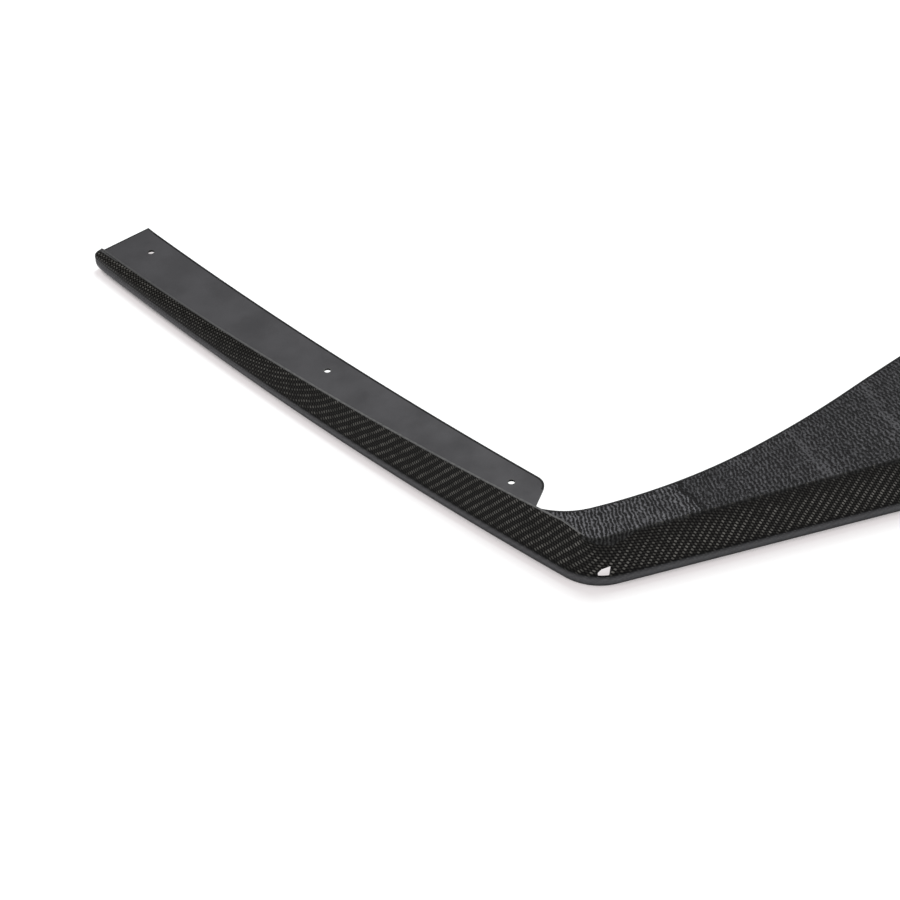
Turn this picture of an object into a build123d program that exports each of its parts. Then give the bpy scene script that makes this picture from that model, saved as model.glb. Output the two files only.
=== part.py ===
"""Rear bumper valance: one moulded carbon laminate with a lip, two arm flanges and a front plate."""

import os
from math import atan2, cos, degrees, radians, sin, tan

from build123d import *

# Sizes are in mm and degrees. Plus X is across the car, plus Y runs along the arms, Z is up.

# Lip line in plan, along the bottom edge from the middle of the front to the end of an arm
front_y = 399.6
bow_r = 1163.0
bow_turn = 16.6
front_run = 287.0
corner_r = 49.0
corner_turn = 59.4
arm_r = 3942.0
arm_run = 646.0

# Lip section: the lower face leans out to the nose, and the upper face leans back to the rim
laminate = 2.5
nose_out = 7.0
nose_height = 17.0
nose_round = 5.0
nose_lean = 10.0
rim_in = 1.0
rim_corner_r = 16.0

# Mounting plane, which leans down towards the ends of the arms
plane_height = 45.4
plane_lean = 3.63

# Trimmed edge that stands above the plane along each arm and fades out before the corner ends
upstand = 5.0
fade_before = 18.0
fade_run = 24.0

# Inner edge of the front plate, from the notch at the arm to the middle
notch_along = 41.1
notch_in = 5.9
plate_end_r = 67.5
plate_end_turn = 44.0
plate_sweep_r = 530.0
plate_sweep_turn = 18.0
plate_hollow_r = 1059.0
plate_hollow_turn = 7.06
plate_bow_r = 2540.0

# Arm flange: its near corner and its width at the end of the arm
flange_near_along = 55.2
flange_near_in = 40.3
flange_far_in = 62.2
flange_edge_r = 5160.0
flange_corner_r = 18.0

# Bolt holes in the flange, each given along the arm from the corner and inboard from the lip line
hole_r = 3.5
hole_near_along = 80.6
hole_near_in = 20.5
hole_mid_along = 328.1
hole_mid_in = 31.7
hole_far_before = 37.1
hole_far_in = 38.9

# Opening in the corner, just above the nose
slot_turn = 17.05
slot_height = 22.0
slot_outline = ((-5.2, -4.8), (5.0, -4.8), (6.2, 7.4), (-2.3, 4.6), (-5.6, 0.5))
slot_round = 1.2

# The arm is drawn this much further round than it is kept, and is cut back at its end
overrun_turn = 0.1

# The nose arc touches the lower face and ends at the shoulder, where the upper face starts
lower_lean = degrees(atan2(nose_out, nose_height))
nose_reach = nose_round * tan(radians((lower_lean + nose_lean) / 2))
throat_out = nose_out - nose_reach * sin(radians(lower_lean))
throat_height = nose_height - nose_reach * cos(radians(lower_lean))
shoulder_out = nose_out - nose_reach * sin(radians(nose_lean))
shoulder_height = nose_height + nose_reach * cos(radians(nose_lean))

arm_turn = degrees(arm_run / arm_r)

mounting_plane = Plane(
    origin=(0, 0, plane_height),
    x_dir=(1, 0, 0),
    z_dir=(0, sin(radians(plane_lean)), cos(radians(plane_lean))),
)


def plane_z(y):
    """Height of the mounting plane at a place along Y."""
    return plane_height - tan(radians(plane_lean)) * y


def lip_line(outset, end_turn, turn_r):
    """Draw one half of the lip line with a corner of radius turn_r, set out from the bottom edge.

    A tighter corner than the bottom edge's lies further out, on the same front and arm.
    """
    further = (corner_r - turn_r) * tan(radians(corner_turn / 2))
    bow = JernArc((0, -front_y - outset), (-1, 0), bow_r + outset, -bow_turn)
    front = PolarLine(bow @ 1, front_run + further, direction=bow % 1)
    corner = JernArc(front @ 1, front % 1, turn_r + outset, -corner_turn)
    arm = JernArc(corner @ 1, corner % 1, arm_r + outset, -end_turn - degrees(further / arm_r))
    return bow, front, corner, arm


def lip_face(plane, outset, turn_r):
    """The area inside one half of the lip line, run on past the end of the arm."""
    with BuildSketch(plane) as area:
        with BuildLine():
            bow, _, _, arm = lip_line(outset, arm_turn + overrun_turn, turn_r)
            back = (0, (arm @ 1).Y)
            Line(arm @ 1, back)
            Line(back, bow @ 0)
        make_face()
    return area.sketch


def upper_body(inset):
    """One half of the lip above its nose as a full body, with its skin set in by inset."""
    with BuildPart() as body:
        loft(
            [
                lip_face(Plane.XY.offset(shoulder_height), shoulder_out - inset, corner_r),
                lip_face(mounting_plane.offset(upstand), -rim_in - inset, rim_corner_r),
            ],
            ruled=True,
        )
    return body.part


def across_line(line):
    """The upright plane across the lip at the start of one stretch, with its x axis pointing outwards."""
    return Plane(origin=line @ 0, x_dir=(line % 0).rotate(Axis.Z, 90), z_dir=line % 0)


with BuildLine():
    stretches = lip_line(0, arm_turn + overrun_turn, corner_r)
with BuildLine():
    kept_arm = lip_line(0, arm_turn, corner_r)[3]
arm_end = Plane(origin=kept_arm @ 1, z_dir=kept_arm % 1)


def on_flange(along, inboard):
    """A place in the mounting plane, given along the arm from the corner and inboard from the lip line."""
    arm = stretches[3]
    share = along / arm.length
    place = arm @ share + (arm % share).rotate(Axis.Z, -90) * inboard
    return place.X, place.Y / cos(radians(plane_lean))


flange_near = on_flange(flange_near_along, flange_near_in)
flange_far = on_flange(arm_run + laminate, flange_far_in)
holes = (
    on_flange(hole_near_along, hole_near_in),
    on_flange(hole_mid_along, hole_mid_in),
    on_flange(arm_run - hole_far_before, hole_far_in),
)

# The opening looks straight out of the corner
slot_place = stretches[2] @ (slot_turn / corner_turn)
slot_run = stretches[2] % (slot_turn / corner_turn)
slot_plane = Plane(
    origin=(slot_place.X, slot_place.Y, slot_height),
    x_dir=-slot_run,
    z_dir=slot_run.rotate(Axis.Z, 90),
).offset(2 * nose_out)

# Lower lip: one thin section carried along the four stretches of the lip line
with BuildPart() as lower_lip:
    for stretch in stretches:
        with BuildSketch(across_line(stretch)):
            with BuildLine():
                face_line = Line((0, 0), (throat_out, throat_height))
                nose = RadiusArc(face_line @ 1, (shoulder_out, shoulder_height), -nose_round)
                shoulder = Line(nose @ 1, (shoulder_out - laminate, shoulder_height))
                inner_nose = RadiusArc(shoulder @ 1, (throat_out - laminate, throat_height), nose_round)
                Polyline(inner_nose @ 1, (-laminate, 0), (0, 0))
            make_face()
        if stretch.geom_type == GeomType.LINE:
            extrude(amount=stretch.length)
        else:
            turn = degrees(stretch.length / stretch.radius)
            revolve(axis=Axis(stretch.arc_center, (0, 0, -1)), revolution_arc=turn)

upper_hull = upper_body(0)
upper_cavity = upper_body(laminate)

# Middle of the skin's thickness, which the flange and the plate run into
with BuildPart() as skin_middle:
    loft(
        [
            lip_face(Plane.XY, -0.6 * laminate, corner_r),
            lip_face(Plane.XY.offset(shoulder_height), shoulder_out - 0.6 * laminate, corner_r),
            lip_face(mounting_plane.offset(upstand), -rim_in - 0.6 * laminate, rim_corner_r),
        ],
        ruled=True,
    )

# Flange and plate: one sheet in the mounting plane, trimmed to the bay between the arms
with BuildPart() as shelf:
    with BuildSketch(mounting_plane) as sheet:
        Rectangle(2 * arm_run, 2 * arm_run, align=(Align.MAX, Align.CENTER))
        with BuildLine():
            notch = on_flange(notch_along, notch_in)
            notch_turn = radians(plate_end_turn + plate_sweep_turn)
            run_in = JernArc(notch, (cos(notch_turn), -sin(notch_turn)), plate_end_r, plate_end_turn)
            sweep_edge = JernArc(run_in @ 1, run_in % 1, plate_sweep_r, plate_sweep_turn)
            hollow = JernArc(sweep_edge @ 1, sweep_edge % 1, plate_hollow_r, plate_hollow_turn)
            bow_edge = JernArc(hollow @ 1, hollow % 1, plate_bow_r, -plate_hollow_turn)
            Line(notch, flange_near)
            flange_edge = RadiusArc(flange_near, flange_far, flange_edge_r)
            Polyline(
                flange_edge @ 1,
                ((flange_edge @ 1).X, arm_run),
                (front_run, arm_run),
                (front_run, (bow_edge @ 1).Y),
                bow_edge @ 1,
            )
        make_face(mode=Mode.SUBTRACT)
        fillet(sheet.vertices().sort_by_distance(flange_near)[0], flange_corner_r)
    extrude(amount=-laminate)
    add(skin_middle.part, mode=Mode.INTERSECT)

# Half of the part: the lip as a skin, trimmed along its top, with the flange and the plate inside it
with BuildPart() as half:
    add(upper_hull)
    add(upper_cavity, mode=Mode.SUBTRACT)
    with BuildSketch(Plane.YZ):
        with BuildLine():
            front_end = -2 * front_y
            fade_start = (kept_arm @ 0).Y - fade_before
            fade_end = fade_start + 2 * fade_run
            Polyline(
                (front_end, plane_z(front_end)),
                (fade_start, plane_z(fade_start)),
                (fade_end, plane_z(fade_end) + 2 * upstand),
                (fade_end, plane_z(fade_end) + 2 * plane_height),
                (front_end, plane_z(front_end) + 2 * plane_height),
                close=True,
            )
        make_face()
    extrude(amount=-2 * arm_run, mode=Mode.SUBTRACT)
    add(lower_lip.part)
    add(shelf.part)
    split(bisect_by=arm_end, keep=Keep.BOTTOM)
    with BuildSketch(mounting_plane):
        with Locations(*holes):
            Circle(hole_r)
    extrude(amount=-2 * laminate, mode=Mode.SUBTRACT)
    with BuildSketch(slot_plane) as opening:
        Polygon(*slot_outline, align=None)
        fillet(opening.vertices(), slot_round)
    extrude(amount=-3 * nose_out, mode=Mode.SUBTRACT)

with BuildPart() as valance:
    add(half.part)
    mirror(about=Plane.YZ)

valance.part.label = "valance"

os.makedirs("parts", exist_ok=True)
export_step(valance.part, "parts/valance.step")
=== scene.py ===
"""Rear bumper valance in carbon laminate: a woven lip, two satin arm flanges and a rough front plate."""

import logging
from dataclasses import astuple, dataclass, fields
from enum import Enum
from math import atan2, cos, hypot, pi, radians, sin, sqrt, tan

import bmesh
import bpy
from bpy.types import ID, Material, Mesh, Node, NodeSocket, NodeTree, Object
from mathutils import Matrix, Vector


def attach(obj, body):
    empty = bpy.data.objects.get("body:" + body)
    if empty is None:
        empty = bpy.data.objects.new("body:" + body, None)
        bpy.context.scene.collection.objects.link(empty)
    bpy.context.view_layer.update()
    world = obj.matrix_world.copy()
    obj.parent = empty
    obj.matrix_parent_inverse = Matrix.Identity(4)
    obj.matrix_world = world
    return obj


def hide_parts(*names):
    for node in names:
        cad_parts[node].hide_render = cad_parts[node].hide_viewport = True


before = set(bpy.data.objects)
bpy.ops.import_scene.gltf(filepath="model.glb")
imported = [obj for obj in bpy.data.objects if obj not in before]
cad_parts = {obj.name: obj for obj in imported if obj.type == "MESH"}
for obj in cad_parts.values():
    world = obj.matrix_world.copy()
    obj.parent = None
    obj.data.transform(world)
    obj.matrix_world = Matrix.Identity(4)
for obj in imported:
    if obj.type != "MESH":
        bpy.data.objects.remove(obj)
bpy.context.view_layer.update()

logging.basicConfig(level=logging.INFO, format="%(message)s")
LOG = logging.getLogger("valance")

# Sizes of the part are in millimetres and degrees, and become metres in the meshes
MM = 0.001

# Climb up and over the lip's section: nought at the bottom edge, then these levels
THROAT_CLIMB = 0.9
SHOULDER_CLIMB = 1.1
RIM_CLIMB = 2.0
RIM_CLIMB_STEP = 0.01
TOP_CLIMB = 2.3
TURN_CLIMB = 2.6
INSIDE_CLIMB = 3.0

# Climb below which a point is on the outer face, and from which a face is cut edge or inner face
OUTER_CLIMB = 2.2
EDGE_FROM = 2.035
BACK_FROM = 2.9

# Longest round on a corner, as a share of the shorter side beside it
LONGEST_ROUND = 0.48

# Gap in metres that keeps points of the section apart before they are spread out
POINT_GAP = 1e-6

Colour = tuple[float, float, float, float]
Ramp = tuple[float, ...]
Point = tuple[float, float]

# Ramp over the middle of a noise
MIDDLE = (0.3, 0.7)


class Side(Enum):
    """The two mirrored halves, left and right as seen from in front of the plate."""

    LEFT = 1.0
    RIGHT = -1.0


class Zone(Enum):
    """Material slots of a laminate piece, in order."""

    FACE = 0
    EDGE = 1
    BACK = 2


@dataclass(frozen=True)
class Place:
    """One place on the lip line in plan, with its heading and how much further out the rim lies."""

    x: float
    y: float
    heading: float
    rim_further: float = 0.0

    def outward(self) -> Point:
        """Unit vector that points out of the part."""
        return (-sin(radians(self.heading)), cos(radians(self.heading)))

    def moved(self, out: float) -> Point:
        """The place set outwards by a distance."""
        nx, ny = self.outward()
        return (self.x + nx * out, self.y + ny * out)


def arc_place(start: Place, radius: float, turn: float) -> Place:
    """Follow an arc from a place.

    Args:
        start: Where the arc starts and its heading.
        radius: Radius of the arc.
        turn: Turn in degrees, positive to the left.

    Returns:
        The place at the end of the arc.
    """
    side = 1.0 if turn >= 0 else -1.0
    h0 = radians(start.heading)
    h1 = h0 + radians(turn)
    x = start.x + side * radius * (sin(h1) - sin(h0))
    y = start.y - side * radius * (cos(h1) - cos(h0))
    return Place(x, y, start.heading + turn)


def right_arc(start: Place, radius: float, run: float) -> Place:
    """Follow an arc to the right for a distance."""
    return arc_place(start, radius, -run / radius * 180 / pi)


@dataclass(frozen=True)
class LipLine:
    """Bottom edge of the lip in plan, from the middle of the front to the end of the left arm."""

    front_y: float = 399.6
    bow_r: float = 1163.0
    bow_turn: float = 16.6
    front_run: float = 287.0
    corner_r: float = 49.0
    corner_turn: float = 59.4
    arm_r: float = 3942.0
    arm_run: float = 646.0
    rim_corner_r: float = 16.0
    end_round: float = 6.0
    run_out: float = 16.0
    bow_steps: int = 30
    front_steps: int = 26
    corner_steps: int = 44
    run_out_steps: int = 8
    arm_steps: int = 84
    end_steps: int = 8

    @property
    def bow_end(self) -> float:
        """Distance at which the bow ends."""
        return self.bow_r * radians(self.bow_turn)

    @property
    def corner_start(self) -> float:
        """Distance at which the corner starts."""
        return self.bow_end + self.front_run

    @property
    def corner_end(self) -> float:
        """Distance at which the corner ends and the arm starts."""
        return self.corner_start + self.corner_r * radians(self.corner_turn)

    @property
    def length(self) -> float:
        """Length of one half of the lip line."""
        return self.corner_end + self.arm_run

    def place(self, along: float) -> Place:
        """Place on the left half.

        Args:
            along: Distance from the middle of the front.

        Returns:
            The place.
        """
        here = right_arc(Place(0.0, -self.front_y, 180.0), self.bow_r, min(along, self.bow_end))
        run = min(max(along - self.bow_end, 0.0), self.front_run)
        h = radians(here.heading)
        here = Place(here.x + run * cos(h), here.y + run * sin(h), here.heading)
        run = min(max(along - self.corner_start, 0.0), self.corner_end - self.corner_start)
        further = self.rim_further(run / self.corner_r)
        here = right_arc(here, self.corner_r, run)
        here = right_arc(here, self.arm_r, max(along - self.corner_end, 0.0))
        return Place(here.x, here.y, here.heading, further)

    def rim_further(self, turn: float) -> float:
        """How much further out the rim lies than the bottom edge, because its corner is tighter.

        Args:
            turn: How far round the corner the place is, in radians.

        Returns:
            The distance.
        """
        half = radians(self.corner_turn) / 2
        off = abs(turn - half)
        centre = (self.corner_r - self.rim_corner_r) / cos(half)
        touch = atan2(self.rim_corner_r * sin(half), centre + self.rim_corner_r * cos(half))
        if off > touch:
            return self.corner_r / cos(half - off) - self.corner_r
        reach = sqrt(self.rim_corner_r**2 - (centre * sin(off)) ** 2)
        return centre * cos(off) + reach - self.corner_r

    def stations(self) -> list[float]:
        """Distances at which the lip's section is drawn, closer together round the corner and at the end.

        Returns:
            Distances along one half.
        """
        arm_start, last = self.corner_end + self.run_out, self.length - self.end_round
        spans = (
            (0.0, self.bow_end, self.bow_steps),
            (self.bow_end, self.corner_start, self.front_steps),
            (self.corner_start, self.corner_end, self.corner_steps),
            (self.corner_end, arm_start, self.run_out_steps),
            (arm_start, last, self.arm_steps),
        )
        found = [start + (end - start) * i / count for start, end, count in spans for i in range(count)]
        turns = [i / self.end_steps * pi / 2 for i in range(self.end_steps + 1)]
        return found + [last + self.end_round * sin(turn) for turn in turns]

    def drawn_in(self, along: float) -> float:
        """Share of the end's rounding: nought before the rounded end and one at the very end."""
        share = max(along - self.length + self.end_round, 0.0) / self.end_round
        return 1.0 - sqrt(max(1.0 - share * share, 0.0))


@dataclass(frozen=True)
class Section:
    """Section across the lip, and the mounting plane that the flanges and the plate lie in."""

    laminate: float = 2.5
    nose_out: float = 7.0
    nose_height: float = 17.0
    nose_round: float = 5.0
    nose_lean: float = 10.0
    rim_in: float = 1.0
    plane_height: float = 45.4
    plane_lean: float = 3.63
    upstand: float = 5.0
    fade_y: float = -252.0
    fade_run: float = 24.0
    fold_opens: float = 0.4

    def plane_z(self, y: float) -> float:
        """Height of the mounting plane at a place along Y."""
        return self.plane_height - tan(radians(self.plane_lean)) * y

    def to_world(self, x: float, y: float, up: float = 0.0) -> Vector:
        """A point given in the mounting plane and above it, in metres in the part's frame."""
        c, s = cos(radians(self.plane_lean)), sin(radians(self.plane_lean))
        return Vector((x, y * c + up * s, self.plane_height - y * s + up * c)) * MM

    @property
    def lower_lean(self) -> float:
        """Lean of the lower face, in radians."""
        return atan2(self.nose_out, self.nose_height)

    @property
    def nose_reach(self) -> float:
        """Distance from the nose's corner to where its arc touches a face."""
        return self.nose_round * tan((self.lower_lean + radians(self.nose_lean)) / 2)

    @property
    def throat(self) -> Point:
        """Where the nose arc leaves the lower face, as distance out and height."""
        lean, reach = self.lower_lean, self.nose_reach
        return (self.nose_out - reach * sin(lean), self.nose_height - reach * cos(lean))

    @property
    def shoulder(self) -> Point:
        """Where the nose arc meets the upper face, as distance out and height."""
        turn, reach = radians(self.nose_lean), self.nose_reach
        return (self.nose_out - reach * sin(turn), self.nose_height + reach * cos(turn))

    def full_rim(self, place: Place) -> Point:
        """Distance out and height of the rim before it is trimmed along the front."""
        out = place.rim_further - self.rim_in
        return (out, self.plane_z(place.moved(out)[1]) + self.upstand / cos(radians(self.plane_lean)))

    def face_at(self, place: Place, z: float) -> float:
        """Distance out of the upper face at a height."""
        (out0, z0), (out1, z1) = self.shoulder, self.full_rim(place)
        return out0 + (out1 - out0) * (z - z0) / (z1 - z0)

    def rim(self, place: Place) -> Point:
        """Rim of the lip as trimmed: flush with the plate along the front, standing up along the arm.

        Args:
            place: Place on the lip line.

        Returns:
            Distance out and height of the rim.
        """
        full_out, full_z = self.full_rim(place)
        y = place.moved(full_out)[1]
        ramp = (y - self.fade_y) / (2 * self.fade_run) * 2 * self.upstand
        z = min(full_z, self.plane_z(y) + max(ramp, 0.0))
        return (self.face_at(place, z), z)

    def fold(self, place: Place) -> float:
        """How much of a fold the rim is: one where it runs into the plate, nought where it stands free."""
        y = place.moved(-self.rim_in)[1]
        return min(max(1.0 - (y - self.fade_y) / (self.fold_opens * self.fade_run), 0.0), 1.0)


@dataclass(frozen=True)
class Lie:
    """How the cloth lies at one station, as repeats for each millimetre along and down the lip."""

    along: float
    wale_along: float
    wale_down: float
    dot_along: float
    dot_down: float

    def mixed(self, other: "Lie", along: float) -> "Lie":
        """The lie at a place between this station and the next."""
        share = (along - self.along) / (other.along - self.along)
        return Lie(*(a + (b - a) * share for a, b in zip(astuple(self), astuple(other))))


@dataclass(frozen=True)
class Drape:
    """How the cloth lies along the whole lip, from the middle of the front to the end of the arm."""

    lies: tuple[Lie, ...] = (
        Lie(0.0, 0.105, 0.064, 0.285, -0.26),
        Lie(450.0, 0.105, 0.064, 0.282, -0.262),
        Lie(505.0, 0.1126, 0.064, 0.243, -0.237),
        Lie(560.0, 0.1207, 0.065, 0.209, -0.23),
        Lie(605.0, 0.1255, 0.0705, 0.18, -0.235),
        Lie(650.0, 0.118, 0.083, 0.185, -0.21),
        Lie(715.0, 0.111, 0.0963, 0.198, -0.21),
        Lie(768.0, 0.1089, 0.0943, 0.277, -0.25),
        Lie(825.0, 0.106, 0.0932, 0.277, -0.25),
        Lie(890.0, 0.099, 0.1047, 0.27, -0.23),
        Lie(965.0, 0.0955, 0.1235, 0.26, -0.18),
        Lie(1065.0, 0.049, 0.238, 0.255, -0.03),
        Lie(1150.0, 0.0185, 0.265, 0.255, -0.02),
        Lie(1330.0, 0.025, 0.255, 0.255, -0.02),
    )

    def lie(self, along: float) -> Lie:
        """How the cloth lies at one place.

        Args:
            along: Distance from the middle.

        Returns:
            The lie.
        """
        for here, after in zip(self.lies, self.lies[1:]):
            if along <= after.along:
                return here.mixed(after, along)
        return self.lies[-1]


class NodeKit:
    """Short calls for building one node tree."""

    def __init__(self, tree: NodeTree) -> None:
        """Keep the tree that the nodes go into."""
        self.tree = tree

    def add(self, kind: str, values: dict | None = None, **props: object) -> Node:
        """Add a node.

        Args:
            kind: Node type name.
            values: Input name or index to a value or a socket.
            props: Node properties to set.

        Returns:
            The node.
        """
        node = self.tree.nodes.new(kind)
        for name, value in props.items():
            setattr(node, name, value)
        for key, value in (values or {}).items():
            self.feed(node.inputs[key], value)
        return node

    def feed(self, socket: NodeSocket, value: object) -> None:
        """Link a socket into an input, or set its value.

        Args:
            socket: Input socket.
            value: Output socket or plain value.
        """
        if isinstance(value, NodeSocket):
            self.tree.links.new(value, socket)
        else:
            socket.default_value = value

    def math(self, operation: str, *values: object) -> NodeSocket:
        """Add a math node and give its result."""
        return self.add("ShaderNodeMath", dict(enumerate(values)), operation=operation).outputs[0]

    def plus(self, first: object, second: object) -> NodeSocket:
        """Add two numbers."""
        return self.math("ADD", first, second)

    def minus(self, first: object, second: object) -> NodeSocket:
        """Take the second number from the first."""
        return self.math("SUBTRACT", first, second)

    def times(self, first: object, second: object) -> NodeSocket:
        """Multiply two numbers."""
        return self.math("MULTIPLY", first, second)

    def vector(self, operation: str, values: dict) -> NodeSocket:
        """Add a vector math node and give its vector."""
        return self.add("ShaderNodeVectorMath", values, operation=operation).outputs[0]

    def split(self, vector: object) -> list[NodeSocket]:
        """The three parts of a vector."""
        return list(self.add("ShaderNodeSeparateXYZ", {0: vector}).outputs)

    def join(self, x: object, y: object, z: object = 0.0) -> NodeSocket:
        """A vector from its three parts."""
        return self.add("ShaderNodeCombineXYZ", {0: x, 1: y, 2: z}).outputs[0]

    def ramp(
        self, value: object, low: float, high: float, start: float = 0.0, end: float = 1.0
    ) -> NodeSocket:
        """Map low to start and high to end, smoothly."""
        values = {0: value, 1: low, 2: high, 3: start, 4: end}
        return self.add("ShaderNodeMapRange", values, interpolation_type="SMOOTHSTEP").outputs[0]

    def blend(self, share: object, first: object, second: object) -> NodeSocket:
        """Mix two numbers by the share of the second."""
        return self.add("ShaderNodeMix", {0: share, 2: first, 3: second}).outputs[0]

    def mix(self, share: object, first: object, second: object) -> NodeSocket:
        """Mix two colours by the share of the second."""
        return self.add("ShaderNodeMix", {0: share, 6: first, 7: second}, data_type="RGBA").outputs[2]

    def noise(
        self, vector: object, scale: float, detail: float = 3.0, roughness: float = 0.5
    ) -> NodeSocket:
        """Add a noise texture and give its value."""
        values = {"Vector": vector, "Scale": scale, "Detail": detail, "Roughness": roughness}
        return self.add("ShaderNodeTexNoise", values).outputs[0]

    def place(self) -> NodeSocket:
        """The place on the object."""
        return self.add("ShaderNodeTexCoord").outputs["Object"]

    def bump(self, height: object, strength: float, distance: float) -> NodeSocket:
        """A normal that is turned by a height."""
        values = {"Strength": strength, "Distance": distance, "Height": height}
        return self.add("ShaderNodeBump", values).outputs[0]


Started = tuple[NodeKit, Node, Node]


def grey(level: float) -> Colour:
    """A neutral colour of a linear level."""
    return (level, level, level, 1.0)


def start_tree(name: str, kind: str, inputs: dict[str, str], outputs: dict[str, str]) -> Started:
    """Start a node group.

    Args:
        name: Group name.
        kind: Type name of its tree.
        inputs: Input name to socket type.
        outputs: Output name to socket type.
    """
    tree = bpy.data.node_groups.new(name, kind)
    for way, sockets in (("INPUT", inputs), ("OUTPUT", outputs)):
        for label, socket in sockets.items():
            tree.interface.new_socket(label, in_out=way, socket_type=socket)
    kit = NodeKit(tree)
    return kit, kit.add("NodeGroupInput"), kit.add("NodeGroupOutput")


def start_material(name: str) -> tuple[Material, NodeKit, Node]:
    """Start a material with a shader that is linked to the output.

    Args:
        name: Material name.

    Returns:
        The material, its kit and its shader node.
    """
    material = bpy.data.materials.new(name)
    material.use_nodes = True
    kit = NodeKit(material.node_tree)
    shader = next(n for n in kit.tree.nodes if n.type == "BSDF_PRINCIPLED")
    return material, kit, shader


@dataclass(frozen=True)
class Twill:
    """Twill that is read from cloth coordinates: wales along the first, their floats along the second.

    Attributes:
        wale_rise: Where a wale starts to show and shows in full, on its swell.
        float_rise: The same for the floats in it.
    """

    wale_rise: Point = (0.3, 0.95)
    float_rise: Point = (0.15, 0.9)

    def group(self) -> NodeTree:
        """Make the node group.

        Returns:
            The node group.
        """
        outputs = {"Warp": "NodeSocketFloat", "Weft": "NodeSocketFloat", "Height": "NodeSocketFloat"}
        kit, start, end = start_tree("twill", "ShaderNodeTree", {"Cloth": "NodeSocketVector"}, outputs)
        wale, dot, _ = kit.split(start.outputs["Cloth"])

        def swell(value: NodeSocket, shift: float) -> NodeSocket:
            """Smooth rise and fall from nought to one over each repeat."""
            turn = kit.times(kit.plus(value, shift), 2 * pi)
            return kit.plus(kit.times(kit.math("COSINE", turn), 0.5), 0.5)

        def floats(shift: float) -> NodeSocket:
            """The floats of one set of tows."""
            stripe = kit.ramp(swell(wale, shift), *self.wale_rise)
            return kit.times(stripe, kit.ramp(swell(dot, shift), *self.float_rise))

        warp, weft = floats(0.0), floats(0.5)
        kit.feed(end.inputs["Warp"], warp)
        kit.feed(end.inputs["Weft"], weft)
        kit.feed(end.inputs["Height"], kit.plus(warp, weft))
        return kit.tree


@dataclass(frozen=True)
class PrintedRidges:
    """One set of ridges that the cloth below prints through the resin.

    Attributes:
        across: Ridges met in a metre across the car.
        along: Ridges met in a metre along the car, at the middle of the front.
        turn: How much the count along the car changes in each metre away from the middle.
        bend: How far the ridges wander, in radians.
        bend_scale: Scale of the noise that they wander by.
    """

    across: float
    along: float
    turn: float
    bend: float
    bend_scale: float

    def wave(self, kit: NodeKit, vector: NodeSocket, across: NodeSocket, along: NodeSocket) -> NodeSocket:
        """Add the nodes of the ridges.

        Args:
            kit: Tree to add to.
            vector: Place on the object.
            across: Distance from the middle of the car.
            along: Distance along the car from the middle of the plate.

        Returns:
            A wave between minus one and one.
        """
        rate = kit.plus(kit.times(across, self.turn), self.along)
        count = kit.plus(kit.times(across, self.across), kit.times(rate, along))
        wander = kit.times(kit.noise(vector, self.bend_scale, 3.0, 0.6), self.bend)
        return kit.math("SINE", kit.plus(kit.times(count, 2.0 * pi), wander))


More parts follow.
